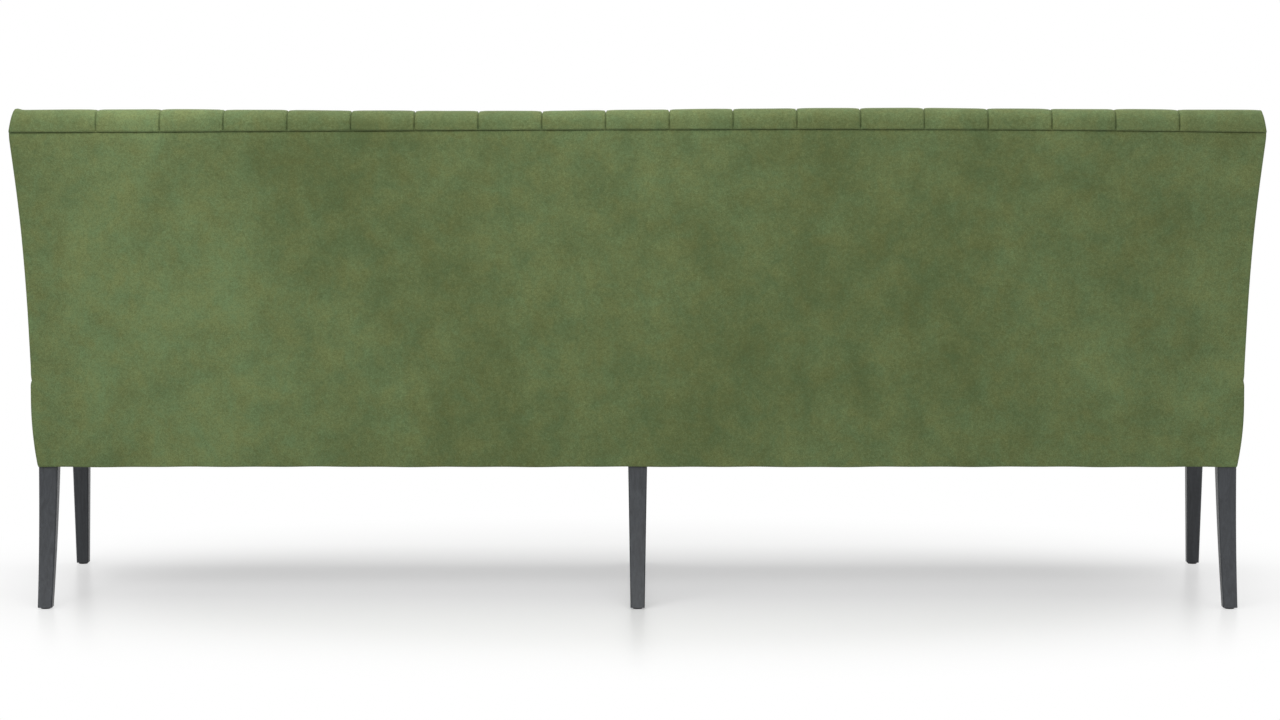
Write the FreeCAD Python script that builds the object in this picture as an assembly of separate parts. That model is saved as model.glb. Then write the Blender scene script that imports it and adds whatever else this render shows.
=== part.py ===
import FreeCAD, Part
import math
import os

from FreeCAD import Vector

# Upholstered kitchen bench on sabre rear legs, with a channel-stitched back that rolls over its top.
# Millimetres. X runs along the bench, the seat faces -Y, Z is up and the floor is Z = 0.
# Left is +X, the left hand of someone who sits on the bench.

# Overall sizes
body_width = 2290.0
overall_depth = 675.0
overall_height = 945.0
leg_height = 262.0
seat_height = 480.0

# Sheets, paddings and clearances
cover_thickness = 2.0
board_thickness = 3.0
webbing_thickness = 2.0
felt_thickness = 4.0
dust_cover_thickness = 1.0
side_padding = 5.0
hem_width = 14.0
soft_gap = 0.3
overrun = 6.0

# Silhouette of the upholstery seen from the rear
hem_tuck = 6.0
seat_swell = 2.0
swell_share = 0.61
pleat_drop = 49.0
seam_drop = 40.0
flare_length = 285.0
top_flare = 10.0
roll_corner_fall = 9.0
front_spread = 6.0

# Curve of the outside back, as leans from upright in degrees at the underside and at the seam
lower_lean = 8.0
upper_lean = 20.3

# Channelled back cushion and its top roll
channel_count = 19
end_channel_width = 160.5
channel_depth = 14.0
channel_dip = 4.0
seam_dip = 1.0
channel_place_shares = (-1, -0.4, 0.4, 1)
channel_dip_shares = (1, 0, 0, 1)
end_place_shares = (0, 0.25, 0.7, 1)
end_dip_shares = (1, 0, 0, 0.25)
back_padding = 58.0
roll_padding = 28.0
roll_bulge = 6.0
roll_rear_radius = 26.0
roll_front_height = 40.0

# Seat cushion
seat_front_tuck = 22.0
front_swell_share = 0.73
seat_crown = 8.0
seat_side_crown = 16.0

# Legs
front_leg_width = 34.0
front_foot_width = 24.0
front_leg_setback = 26.0
front_leg_proud = 6.0
post_width = 36.0
post_depth = 36.0
rear_foot_width = 27.0
rear_foot_depth = 26.0
rear_foot_sweep = 65.0
sabre_bow = 8.5
leg_edge_bevel = 2.0
glide_height = 3.0
glide_radius = 9.0

# Seat frame
rail_height = 85.0
rail_thickness = 25.0
cross_rail_height = 60.0
tenon_reach_share = 0.4
tenon_thickness_share = 0.4
upper_tenon_shares = (0.56, 0.9)
lower_tenon_shares = (0.1, 0.44)
block_reach = 60.0
block_height = 40.0

# Back frame
lower_rail_rise = 45.0
back_rail_width = 60.0
stay_width = 40.0
stays_per_bay = 2
post_tenon_width = 16.0
post_tenon_height = 24.0
tack_strip_height = 12.0

# Webbing straps
strap_width = 60.0
strap_hold = 20.0
seat_straps_per_bay = 9
back_straps_per_gap = 3

# Places that follow from the sizes above
body_half = body_width / 2
front_y = -overall_depth / 2
rear_limit = overall_depth / 2
frame_half = body_half - side_padding - cover_thickness
frame_bottom = leg_height + cover_thickness
frame_top = frame_bottom + rail_height
deck_height = frame_top + webbing_thickness + felt_thickness
pleat_height = seat_height - pleat_drop
swell_height = leg_height + (pleat_height - leg_height) * swell_share
front_swell_height = leg_height + (pleat_height - leg_height) * front_swell_share
seam_height = overall_height - seam_drop
flare_start_height = seam_height - flare_length
channel_pitch = (body_width + 2 * top_flare - 2 * end_channel_width) / (channel_count - 2)
lower_rail_height = deck_height + lower_rail_rise
lower_rail_top = lower_rail_height + back_rail_width
top_rail_top = overall_height - roll_padding
top_rail_bottom = top_rail_top - back_rail_width
post_inset = cover_thickness + board_thickness
core_inset = post_inset + post_depth
padding_inset = core_inset + webbing_thickness
crown_inset = padding_inset + back_padding
seat_edge_rise = pleat_drop - seat_crown
up = Vector(0, 0, 1)

lean_sine = math.sin(math.radians(lower_lean))
lean_cosine = math.cos(math.radians(lower_lean))
lean_change = math.sin(math.radians(upper_lean)) - lean_sine
back_radius = (seam_height - leg_height) / lean_change
seam_setback = back_radius * (lean_cosine - math.cos(math.radians(upper_lean)))
knee_y = rear_limit - roll_bulge - seam_setback

front_rail_y = front_y + front_leg_setback
front_leg_y = front_rail_y + front_leg_width / 2
front_leg_x = frame_half + front_leg_proud - front_leg_width / 2
rear_rail_y = knee_y - post_inset
post_front_y = knee_y - core_inset
post_x = frame_half - post_width / 2
bay_start = post_width / 2
bay_width = frame_half - post_width - bay_start
whole_width = (-body_width, body_width)
sides = {"left": 1, "right": -1}


def rear_y(height):
    """Place of the outside back at a height: one arc that leans further back as it rises."""
    sine = lean_sine + (height - leg_height) / back_radius
    return knee_y + back_radius * (lean_cosine - math.sqrt(1 - sine * sine))


def line(start, end):
    return Part.LineSegment(start, end).toShape()


def leaving_arc(start, heading, end):
    """The arc that leaves its start along a heading and stops at its end."""
    chord = end - start
    turn = heading.getAngle(chord)
    side = heading - chord * (heading.dot(chord) / chord.dot(chord))
    side.normalize()
    middle = start + chord / 2 + side * (chord.Length / 2 * math.tan(turn / 2))
    return Part.Arc(start, middle, end).toShape()


def bevel(start, heading, end):
    """The straight cut that stands in for such an arc on sawn foam."""
    return line(start, end)


def back_arc(low, high, inset, x=0):
    """The curve of the outside back between two heights, moved forward by an inset."""
    heights = (low, (low + high) / 2, high)
    return Part.Arc(*[Vector(x, rear_y(height) - inset, height) for height in heights]).toShape()


def wire(edges):
    return Part.Wire(Part.__sortEdges__(edges))


def prism(edges, reach):
    return Part.Face(wire(edges)).extrude(reach)


def polygon(points):
    return Part.makePolygon(points + points[:1]).Edges


def box(x_range, y_range, z_range):
    ranges = (x_range, y_range, z_range)
    return Part.makeBox(*[high - low for low, high in ranges], Vector(*[low for low, high in ranges]))


def span(middle, width):
    return (middle - width / 2, middle + width / 2)


def mirrored(shape):
    return shape.mirror(Vector(), Vector(1, 0, 0))


def on_side(side, x_range):
    return x_range if sides[side] > 0 else (-x_range[1], -x_range[0])


def back_band(low, high, front_inset, rear_inset, x_range):
    """A sheet or a board that follows the curve of the back between two heights."""
    x = x_range[0]
    corners = [Vector(x, rear_y(z) - inset, z) for z in (low, high) for inset in (front_inset, rear_inset)]
    edges = [back_arc(low, high, front_inset, x), back_arc(low, high, rear_inset, x)]
    edges += [line(corners[0], corners[1]), line(corners[2], corners[3])]
    return prism(edges, Vector(x_range[1] - x, 0, 0))


def export(name, *solids):
    shape = solids[0] if len(solids) == 1 else Part.makeCompound(solids)
    shape.exportStep("parts/%s.step" % name)


def joined(solids):
    return solids[0].multiFuse(solids[1:]).Solids[0]


# Outer forms of seat and back
def side_outline(inset, below):
    """The width of the back at each height: drawn-in hem, swollen seat side, flare and roll."""
    half = body_half - inset
    hem = Vector(half - hem_tuck, 0, leg_height - below)
    swell = Vector(half + seat_swell, 0, swell_height)
    pleat = Vector(half, 0, pleat_height)
    flare = Vector(half, 0, flare_start_height)
    seam = Vector(half + top_flare, 0, seam_height)
    corner = Vector(seam.x - roll_corner_fall, 0, overall_height + overrun)
    edges = [leaving_arc(swell, -up, hem), line(swell, pleat), line(pleat, flare)]
    edges += [leaving_arc(flare, up, seam), line(seam, corner)]
    edges += [mirrored(edge) for edge in edges]
    edges += [line(point, Vector(-point.x, 0, point.z)) for point in (hem, corner)]
    outline = prism(edges, Vector(0, overall_depth + 2 * overrun, 0))
    outline.translate(Vector(0, front_y - overrun, 0))
    return outline


def seat_half(inset):
    """The left half of the seat seen from the front, carried back along its side, which turns in rearward."""
    y = front_y - overrun
    back_reach = rear_limit + overrun - y
    narrowing = math.degrees(math.atan(front_spread / (knee_y - front_y)))
    half = body_half - inset
    edge_rise = seat_edge_rise - inset
    hem = Vector(half - hem_tuck, y, leg_height - 2 * overrun)
    swell = Vector(half + seat_swell, y, swell_height)
    pleat = Vector(half, y, pleat_height)
    edge = Vector(half - edge_rise, y, pleat_height + edge_rise)
    past_middle = Vector(-hem_width, y, edge.z + seat_side_crown)
    below_middle = Vector(-hem_width, y, hem.z)
    edges = [leaving_arc(swell, -up, hem), line(swell, pleat), leaving_arc(pleat, up, edge)]
    edges += [leaving_arc(past_middle, Vector(1, 0, 0), edge), line(past_middle, below_middle)]
    edges += [line(below_middle, hem)]
    return prism(edges, Vector(0, back_reach, 0)).rotated(Vector(body_half, knee_y, 0), up, narrowing)


def seat_side(inset, below):
    """The seat seen from its side, as far back as the rear of the bench."""
    x = -body_width
    edge_rise = seat_edge_rise - inset
    edge_height = pleat_height + edge_rise
    hem = Vector(x, front_y + inset + seat_front_tuck, leg_height - below)
    swell = Vector(x, front_y + inset, front_swell_height)
    pleat = Vector(x, swell.y, pleat_height)
    edge = Vector(x, swell.y + edge_rise, edge_height)
    crevice = Vector(x, rear_y(seat_height) - crown_inset, edge_height)
    crown = Vector(x, (edge.y + crevice.y) / 2, seat_height - inset)
    rear_high = Vector(x, rear_limit, edge_height)
    rear_low = Vector(x, rear_limit, hem.z)
    edges = [leaving_arc(swell, -up, hem), line(swell, pleat), leaving_arc(pleat, up, edge)]
    edges += [Part.Arc(edge, crown, crevice).toShape(), line(crevice, rear_high)]
    edges += [line(rear_high, rear_low), line(rear_low, hem)]
    return prism(edges, Vector(2 * body_width, 0, 0))


def seat_form(inset, below):
    half = seat_half(inset)
    return half.fuse(mirrored(half)).common(seat_side(inset, below))


def back_section(x, dip_share, inset, slack, bend=leaving_arc):
    """One upright section of the back cushion, over the webbing and the top rail to the rear seam."""
    front_inset = crown_inset - inset - channel_depth * dip_share
    bottom = deck_height - slack
    inner_inset = padding_inset - slack
    rail_top = top_rail_top - slack
    front_top = overall_height - roll_front_height
    face_heading = Vector(0, math.sin(math.radians(upper_lean)), math.cos(math.radians(upper_lean)))
    roll_reach = roll_front_height / math.tan(math.radians(90 - upper_lean) / 2)
    apex = Vector(x, rear_limit - roll_rear_radius, overall_height - inset - channel_dip * dip_share)
    rear_most = Vector(x, rear_limit - inset - seam_dip * dip_share, overall_height - roll_rear_radius)
    seam = Vector(x, rear_y(seam_height) - inset, seam_height - slack)
    rail_corner = Vector(x, rear_y(top_rail_top) - post_inset - slack, rail_top)
    inner_high = Vector(x, rear_y(rail_top) - inner_inset, rail_top)
    inner_low = Vector(x, rear_y(bottom) - inner_inset, bottom)
    front_low = Vector(x, rear_y(bottom) - front_inset, bottom)
    front_high = Vector(x, rear_y(front_top) - front_inset, front_top)
    top_front = Vector(x, front_high.y + roll_reach, apex.z)
    edges = [back_arc(bottom, front_top, front_inset, x), bend(front_high, face_heading, top_front)]
    edges += [line(top_front, apex), bend(rear_most, up, apex), bend(rear_most, -up, seam)]
    edges += [line(seam, rail_corner), line(rail_corner, inner_high)]
    edges += [back_arc(bottom, rail_top, inner_inset, x), line(inner_low, front_low)]
    return wire(edges)


def channel(inset, slack, bend=leaving_arc):
    """One channel of the back, about X = 0: pinched at its two seams and full between them."""
    places = [channel_pitch / 2 * share for share in channel_place_shares]
    sections = [back_section(x, share, inset, slack, bend) for x, share in zip(places, channel_dip_shares)]
    return Part.makeLoft(sections, True, True)


def end_channel(inset, slack, bend=leaving_arc):
    """The wider channel at the left end, from its seam to past the side of the back."""
    seam_x = channel_pitch * (channel_count - 2) / 2
    width = body_half + top_flare + overrun - seam_x
    places = [seam_x + width * share for share in end_place_shares]
    sections = [back_section(x, share, inset, slack, bend) for x, share in zip(places, end_dip_shares)]
    return Part.makeLoft(sections, True, True)


def channel_row(middle, end):
    """All channels in a row, from one that lies about X = 0 and one for the left end."""
    count = channel_count - 2
    places = [(place - (count - 1) / 2) * channel_pitch for place in range(count)]
    return joined([middle.translated(Vector(x, 0, 0)) for x in places] + [end, mirrored(end)])


# Seat frame
def rail(x_range, y_range, z_range, axis, tongue_shares, reaches):
    """A rail along X (axis 0) or Y (axis 1), with a tenon at each end."""
    across = (x_range, y_range)[1 - axis]
    along = (x_range, y_range)[axis]
    tongue = [(along[0] - reaches[0], along[1] + reaches[1])]
    tongue.insert(1 - axis, span(sum(across) / 2, (across[1] - across[0]) * tenon_thickness_share))
    heights = [z_range[0] + (z_range[1] - z_range[0]) * share for share in tongue_shares]
    body = box(x_range, y_range, z_range)
    if axis == 1:
        body = body.cut(back_band(leg_height, frame_top + overrun, core_inset, -rear_limit, whole_width))
    return body.fuse(box(*tongue, heights))


front_reach = front_leg_width * tenon_reach_share
post_reach = post_width * tenon_reach_share
post_depth_reach = post_depth * tenon_reach_share
frame_heights = (frame_bottom, frame_top)
front_rail_range = (front_rail_y, front_rail_y + rail_thickness)
rear_rail_range = (rear_rail_y - rail_thickness, rear_rail_y)
front_leg_back = front_leg_y + front_leg_width / 2
front_bay = (front_leg_width / 2, front_leg_x - front_leg_width / 2)
rear_bay = (bay_start, bay_start + bay_width)
post_meeting = rear_y(frame_top) - core_inset

long_rails = {}
cross_rails = {}
depth_rails = {}
for side in sides:
    long_rails["front_rail_" + side] = rail(
        on_side(side, front_bay), front_rail_range, frame_heights, 0, upper_tenon_shares, [front_reach] * 2
    )
    long_rails["rear_rail_" + side] = rail(
        on_side(side, rear_bay), rear_rail_range, frame_heights, 0, upper_tenon_shares, [post_reach] * 2
    )
    cross_rails["cross_rail_" + side] = box(
        on_side(side, span(bay_start + bay_width / 2, rail_thickness)),
        (front_rail_range[1], rear_rail_range[0]),
        (frame_bottom, frame_bottom + cross_rail_height),
    )

depth_rail_places = {
    "side_rail_left": (frame_half - rail_thickness, frame_half),
    "centre_rail": span(0, rail_thickness),
    "side_rail_right": (-frame_half, rail_thickness - frame_half),
}
for name, x_range in depth_rail_places.items():
    depth_rails[name] = rail(
        x_range,
        (front_leg_back, post_meeting),
        frame_heights,
        1,
        lower_tenon_shares,
        (front_reach, post_front_y + post_depth_reach - post_meeting),
    )


def corner_block(leg_corner, rail_corner, inward):
    """A glued block behind a leg, against the leg and both of its rails."""
    low = (frame_bottom + frame_top - block_height) / 2
    places = [(leg_corner[0] + inward[0] * block_reach, rail_corner[1]), (leg_corner[0], rail_corner[1])]
    places += [leg_corner, (rail_corner[0], leg_corner[1])]
    places += [(rail_corner[0], leg_corner[1] + inward[1] * block_reach)]
    return prism(polygon([Vector(x, y, low) for x, y in places]), up * block_height)


blocks = {}
inner_side = frame_half - rail_thickness
for side, sign in sides.items():
    corners = {
        "corner_block_front_" + side: (front_bay[1], front_leg_back, inner_side, -1, 1),
        "corner_block_rear_" + side: (rear_bay[1], post_front_y, inner_side, -1, -1),
        "centre_block_front_" + side: (front_bay[0], front_leg_back, rail_thickness / 2, 1, 1),
        "centre_block_rear_" + side: (rear_bay[0], post_front_y, rail_thickness / 2, 1, -1),
    }
    for name, (leg_x, leg_y, rail_x, inward_x, inward_y) in corners.items():
        rail_y = front_rail_range[1] if inward_y > 0 else rear_rail_range[0]
        inward = (sign * inward_x, inward_y)
        blocks[name] = corner_block((sign * leg_x, leg_y), (sign * rail_x, rail_y), inward)


# Legs
def tapered(foot_width, top_width):
    """Front view of the shown length of a leg about X = 0, as a prism through the depth of the bench."""
    places = ((foot_width, glide_height), (top_width, leg_height))
    right = [Vector(width / 2, -rear_limit, z) for width, z in places]
    left = [Vector(-point.x, point.y, point.z) for point in reversed(right)]
    return prism(polygon(right + left), Vector(0, overall_depth, 0))


def softened(leg):
    """The shown length of a leg with its long edges eased by a narrow bevel."""
    shown = leg_height - glide_height
    return leg.makeChamfer(leg_edge_bevel, [edge for edge in leg.Edges if edge.BoundBox.ZLength > shown / 2])


def front_leg():
    """A square leg about X = 0, Y = 0, with its top block between the rails."""
    taper = tapered(front_foot_width, front_leg_width)
    shown = softened(taper.common(taper.rotated(Vector(), up, 90)))
    square = span(0, front_leg_width)
    return shown.fuse(box(square, square, (leg_height, frame_top)))


def sabre_arc(top, foot):
    bow = Vector(0, sabre_bow, 0)
    return Part.Arc(top, (top + foot) / 2 - bow, foot).toShape()


def rear_leg():
    """A sabre leg about X = 0 that runs up as the post of the back, with a tenon for the top rail."""
    x = -post_width
    rear_knee = Vector(x, rear_y(leg_height) - post_inset, leg_height)
    front_knee = Vector(x, rear_y(leg_height) - core_inset, leg_height)
    rear_foot = Vector(x, knee_y + rear_foot_sweep, glide_height)
    front_foot = rear_foot - Vector(0, rear_foot_depth, 0)
    edges = [sabre_arc(rear_knee, rear_foot), line(rear_foot, front_foot)]
    edges += [sabre_arc(front_knee, front_foot), line(front_knee, rear_knee)]
    profile = prism(edges, Vector(2 * post_width, 0, 0))
    shown = softened(profile.common(tapered(rear_foot_width, post_width)))
    post = back_band(leg_height, top_rail_bottom, core_inset, post_inset, span(0, post_width))
    tenon_y = rear_y(top_rail_bottom + post_tenon_height / 2) - post_inset - post_depth / 2
    tenon_heights = (top_rail_bottom - post_tenon_height, top_rail_bottom + post_tenon_height)
    tenon = box(span(0, post_tenon_width), span(tenon_y, post_tenon_width), tenon_heights)
    return joined([shown, post, tenon])


leg_places = {"left": 1, "centre": 0, "right": -1}
one_front_leg = front_leg()
one_rear_leg = rear_leg()
front_legs = {}
rear_legs = {}
glides = []
foot_y = knee_y + rear_foot_sweep - rear_foot_depth / 2
for place, sign in leg_places.items():
    front_place = Vector(sign * front_leg_x, front_leg_y, 0)
    rear_place = Vector(sign * post_x, 0, 0)
    front_legs["front_leg_" + place] = one_front_leg.translated(front_place)
    rear_legs["rear_leg_" + place] = one_rear_leg.translated(rear_place)
    for glide_place in (front_place, rear_place + Vector(0, foot_y, 0)):
        glides.append(Part.makeCylinder(glide_radius, glide_height, glide_place))


# Back frame
def lower_back_rail(side):
    """A rail between two posts, flush with their front, with a tenon at each end."""
    cheek = rail_thickness * (1 - tenon_thickness_share) / 2
    x_range = on_side(side, rear_bay)
    tongue_range = (x_range[0] - post_reach, x_range[1] + post_reach)
    low = lower_rail_height + back_rail_width * lower_tenon_shares[0]
    high = lower_rail_height + back_rail_width * upper_tenon_shares[1]
    body = back_band(lower_rail_height, lower_rail_top, core_inset, core_inset - rail_thickness, x_range)
    tongue_insets = (core_inset - cheek, core_inset - rail_thickness + cheek)
    return body.fuse(back_band(low, high, *tongue_insets, tongue_range))


stay_gap = (bay_width - stays_per_bay * stay_width) / (stays_per_bay + 1)
lower_back_rails = {"lower_back_rail_" + side: lower_back_rail(side) for side in sides}
top_rail = back_band(top_rail_bottom, top_rail_top, core_inset, post_inset, (-frame_half, frame_half))
top_rail = top_rail.cut(Part.makeCompound(list(rear_legs.values())))
stays = {}
back_straps = []
seat_straps = []
strap_heights = (lower_rail_top - strap_hold, top_rail_bottom + strap_hold)
seat_strap_range = (front_rail_range[1] - strap_hold, rear_rail_range[0] + strap_hold)
strap_pitch = (stay_gap - back_straps_per_gap * strap_width) / (back_straps_per_gap + 1) + strap_width
for side in sides:
    for gap in range(stays_per_bay + 1):
        gap_start = bay_start + gap * (stay_gap + stay_width)
        for strap in range(back_straps_per_gap):
            start = gap_start + (strap + 1) * strap_pitch - strap_width
            x_range = on_side(side, (start, start + strap_width))
            back_straps.append(back_band(*strap_heights, padding_inset, core_inset, x_range))
        if gap < stays_per_bay:
            x_range = on_side(side, (gap_start + stay_gap, gap_start + stay_gap + stay_width))
            insets = (core_inset, core_inset - rail_thickness)
            stay = back_band(lower_rail_top, top_rail_bottom, *insets, x_range)
            stays["back_stay_%s_%d" % (side, gap + 1)] = stay
    for strap in range(seat_straps_per_bay):
        middle = bay_start + bay_width * (2 * strap + 1) / (2 * seat_straps_per_bay)
        strap_deck = (frame_top, frame_top + webbing_thickness)
        seat_straps.append(box(on_side(side, span(middle, strap_width)), seat_strap_range, strap_deck))

frame_width = (-frame_half, frame_half)
board_top = seam_height - tack_strip_height
backing_board = back_band(frame_bottom, board_top, post_inset, cover_thickness, frame_width)
tack_strip = back_band(board_top, seam_height, post_inset, cover_thickness, frame_width)
felt = box(
    (rail_thickness - frame_half, frame_half - rail_thickness),
    (front_rail_range[1] - strap_hold, post_front_y),
    (frame_top + webbing_thickness, deck_height),
)

# Spaces that the soft pieces leave free
leg_clearances = []
for sign in leg_places.values():
    heights = (leg_height - overrun, frame_top)
    front_width = front_leg_width + 2 * soft_gap
    post_clear_width = post_width + 2 * soft_gap
    post_range = (post_front_y - soft_gap, rear_y(frame_top) - post_inset + soft_gap)
    leg_clearances.append(box(span(sign * front_leg_x, front_width), span(front_leg_y, front_width), heights))
    leg_clearances.append(box(span(sign * post_x, post_clear_width), post_range, heights))
leg_clearance = Part.makeCompound(leg_clearances)
behind_cover = back_band(leg_height - overrun, overall_height, cover_thickness, -rear_limit, whole_width)
meeting_inset = crown_inset + soft_gap
above_pleat = back_band(pleat_height, overall_height, meeting_inset, -rear_limit, whole_width)
above_deck = back_band(deck_height - overrun, overall_height, meeting_inset, -rear_limit, whole_width)

# Seat upholstery
seat_outer = seat_form(0, 0)
seat_inner = seat_form(cover_thickness, overrun)
whole_depth = (front_y, rear_limit)
hem_heights = (leg_height, frame_bottom)
hem_x = body_half - hem_tuck - hem_width
hem_front = front_y + seat_front_tuck + hem_width
hem_rear = knee_y - hem_width
hem_ring = seat_outer.common(box(whole_width, whole_depth, hem_heights))
hem_ring = hem_ring.cut(box((-hem_x, hem_x), (hem_front, rear_limit), hem_heights))
seat_cover = seat_outer.cut(seat_inner).fuse(hem_ring)
seat_cover = seat_cover.cut(behind_cover).cut(above_pleat).cut(leg_clearance)
padding_form = seat_form(cover_thickness + soft_gap, 0)
seat_foam = padding_form.common(box(whole_width, whole_depth, (deck_height, seat_height))).cut(above_deck)
seat_wadding = padding_form.common(box(whole_width, whole_depth, (frame_bottom, deck_height)))
seat_wadding = seat_wadding.cut(box(frame_width, (front_rail_y, rear_limit), (leg_height, deck_height)))
seat_wadding = seat_wadding.cut(behind_cover).cut(leg_clearance)
dust_cover = box(
    (soft_gap - hem_x, hem_x - soft_gap),
    (hem_front + soft_gap, hem_rear - soft_gap),
    (frame_bottom - dust_cover_thickness, frame_bottom),
).cut(leg_clearance)

# Back upholstery
outer_outline = side_outline(0, 0)
inner_outline = side_outline(cover_thickness, overrun)
padding_outline = side_outline(cover_thickness + soft_gap, overrun)
cut_middle = channel(0, 0).cut(channel(cover_thickness, overrun))
cut_end = end_channel(0, 0).cut(end_channel(cover_thickness, overrun)).common(inner_outline)
back_cover = channel_row(cut_middle, cut_end)
foam_inset = cover_thickness + soft_gap
foam_end = end_channel(foam_inset, -soft_gap, bevel).common(padding_outline)
back_foam = channel_row(channel(foam_inset, -soft_gap, bevel), foam_end)
rear_cover = back_band(leg_height, seam_height, cover_thickness, 0, whole_width).common(outer_outline)
rear_hem = box((soft_gap - hem_x, hem_x - soft_gap), (hem_rear, knee_y), hem_heights)
rear_cover = rear_cover.fuse(rear_hem.cut(leg_clearance))


def side_panel():
    """The left side of the back, as a sheet from the pleat to the end of the roll."""
    beside = (frame_half, body_width)
    behind = back_band(pleat_height, top_rail_top, padding_inset + overrun, cover_thickness, beside)
    above = box(beside, (front_y, rear_limit + overrun), (pleat_height, overall_height))
    return end_channel(0, 0).fuse(behind).common(above).common(outer_outline).cut(inner_outline)


def side_wadding():
    """Wadding between the left post and the side cover."""
    beside = (frame_half, body_width)
    strip = back_band(deck_height, top_rail_top, padding_inset, cover_thickness, beside)
    return strip.common(padding_outline)


panel = side_panel()
wadding = side_wadding()

# Mortises in the legs
tongues = list(long_rails.values()) + list(depth_rails.values()) + list(lower_back_rails.values())
sunk = Part.makeCompound(tongues)
front_legs = {name: leg.cut(sunk) for name, leg in front_legs.items()}
rear_legs = {name: leg.cut(sunk) for name, leg in rear_legs.items()}

os.makedirs("parts", exist_ok=True)
groups = (front_legs, rear_legs, long_rails, depth_rails, cross_rails, blocks, lower_back_rails, stays)
for group in groups:
    for name, solid in group.items():
        export(name, solid)
export("leg_glides", *glides)
export("top_rail", top_rail)
export("back_webbing", *back_straps)
export("seat_webbing", *seat_straps)
export("backing_board", backing_board)
export("tack_strip", tack_strip)
export("spring_felt", felt)
export("seat_foam", seat_foam)
export("seat_wadding", seat_wadding)
export("seat_cover", seat_cover)
export("dust_cover", dust_cover)
export("back_foam", back_foam)
export("back_cover", back_cover)
export("rear_cover", rear_cover)
export("back_side_cover_left", panel)
export("back_side_cover_right", mirrored(panel))
export("back_side_wadding_left", wadding)
export("back_side_wadding_right", mirrored(wadding))
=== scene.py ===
# %% [markdown]
# # Kitchen bench with a channel-stitched back
# The bench is seen from behind, as in its photograph: a flat outside back, a padded roll with sewn channels
# over its top edge, and dark sabre legs. Its frame is already built as solids. It could be modelled again
# here, but then two models would drift apart. So the lesson loads it, sews each soft piece over it as a
# mesh, and makes every finish from shader nodes. All lengths are metres. X runs along the bench, the seat
# faces -Y and Z is up.

# %% Load the frame
import math

import bpy
import numpy as np
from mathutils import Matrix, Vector


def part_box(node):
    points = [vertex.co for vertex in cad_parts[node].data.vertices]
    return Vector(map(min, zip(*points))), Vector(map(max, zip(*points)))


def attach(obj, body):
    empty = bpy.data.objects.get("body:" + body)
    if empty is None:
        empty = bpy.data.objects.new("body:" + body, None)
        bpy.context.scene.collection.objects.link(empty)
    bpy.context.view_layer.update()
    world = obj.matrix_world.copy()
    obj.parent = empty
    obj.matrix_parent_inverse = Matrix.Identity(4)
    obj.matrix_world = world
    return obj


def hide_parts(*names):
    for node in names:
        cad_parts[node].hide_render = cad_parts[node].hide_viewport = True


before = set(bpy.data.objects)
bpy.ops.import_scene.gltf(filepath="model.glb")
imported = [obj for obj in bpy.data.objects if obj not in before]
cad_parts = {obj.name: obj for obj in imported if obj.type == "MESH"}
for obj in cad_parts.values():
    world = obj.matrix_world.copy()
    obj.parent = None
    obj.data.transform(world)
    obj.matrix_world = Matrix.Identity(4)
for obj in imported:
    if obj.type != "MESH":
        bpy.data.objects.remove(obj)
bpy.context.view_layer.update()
print("frame loaded:", len(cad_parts), "nodes")

# %% [markdown]
# ## Sizes
# A cover is cut to fit its frame. Its places could be typed in, but a number that is written down twice is
# soon wrong once.

# %% Places read from the frame
panel_low, panel_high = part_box("rear_cover")
seat_low, seat_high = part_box("seat_cover")
dust_low, dust_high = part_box("dust_cover")
side_low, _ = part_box("back_side_cover_left")
_, back_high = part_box("back_cover")
_, felt_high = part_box("spring_felt")

cover_thickness = 0.002
seam_flare = 0.010
body_half = panel_high.x - seam_flare
underside = panel_low.z
seam_z = panel_high.z
seam_y = panel_high.y
top_z = back_high.z
rear_limit = back_high.y
front_limit = seat_low.y
pleat_z = side_low.z
deck_z = felt_high.z
seat_z = seat_high.z


def mm(*lengths):
    """Lengths as text."""
    return ", ".join(f"{1000 * float(length):.1f}" for length in lengths) + " mm"


print("seat at", mm(seat_z), "and top at", mm(top_z))

# %% [markdown]
# Seen from the side, the outside back leans further to the rear as it rises. A Bezier curve drawn by eye
# could give that line. But the posts are sawn to one arc, so two angles and a radius describe it exactly.

# %% Arc of the back
lower_lean = math.radians(8)
upper_lean = math.radians(20.3)
back_radius = (seam_z - underside) / (math.sin(upper_lean) - math.sin(lower_lean))


def rear_y(z):
    """Place of the outside back at a height."""
    sine = math.sin(upper_lean) + (z - seam_z) / back_radius
    return seam_y + back_radius * (math.cos(upper_lean) - np.sqrt(1 - sine * sine))


knee_y = float(rear_y(underside))
print("radius of the back:", mm(back_radius), "from y =", mm(knee_y))

# %% [markdown]
# Seen from behind, the sides aren't straight either. The cover is drawn in at the hem, swells over the
# seat, has a small nick at the pleat, where back and seat meet, and flares towards the top. Vertices could
# be pulled into that outline by hand. One formula is better, because all pieces follow it, and so their
# seams meet.

# %% Outline of the sides
swell_z = underside + 0.103
waist_z = pleat_z + 0.035
flare_z = seam_z - 0.355
seat_swell = 0.002
hem_draw = 0.008
waist_draw = 0.003
nick_depth = 0.0015
nick_height = 0.006
top_flare = 0.011
roll_fall = 0.008


def ramp(value):
    """0 below 0, 1 above 1, and a soft step between them."""
    share = np.clip(value, 0, 1)
    return share * share * (3 - 2 * share)


def half_width(z):
    """Half the width of the bench at a height."""
    below = np.clip((swell_z - z) / (swell_z - underside), 0, 1)
    waist = ramp((z - swell_z) / (waist_z - swell_z))
    flare = np.clip((z - flare_z) / (seam_z - flare_z), 0, 1)
    fall = np.clip((z - seam_z) / (top_z - seam_z), 0, 1)
    nick = np.exp(-(((z - pleat_z) / nick_height) ** 2))
    swell = seat_swell - hem_draw * below**2 - waist_draw * waist - nick_depth * nick
    return body_half + swell + top_flare * flare**2 - roll_fall * fall


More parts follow.
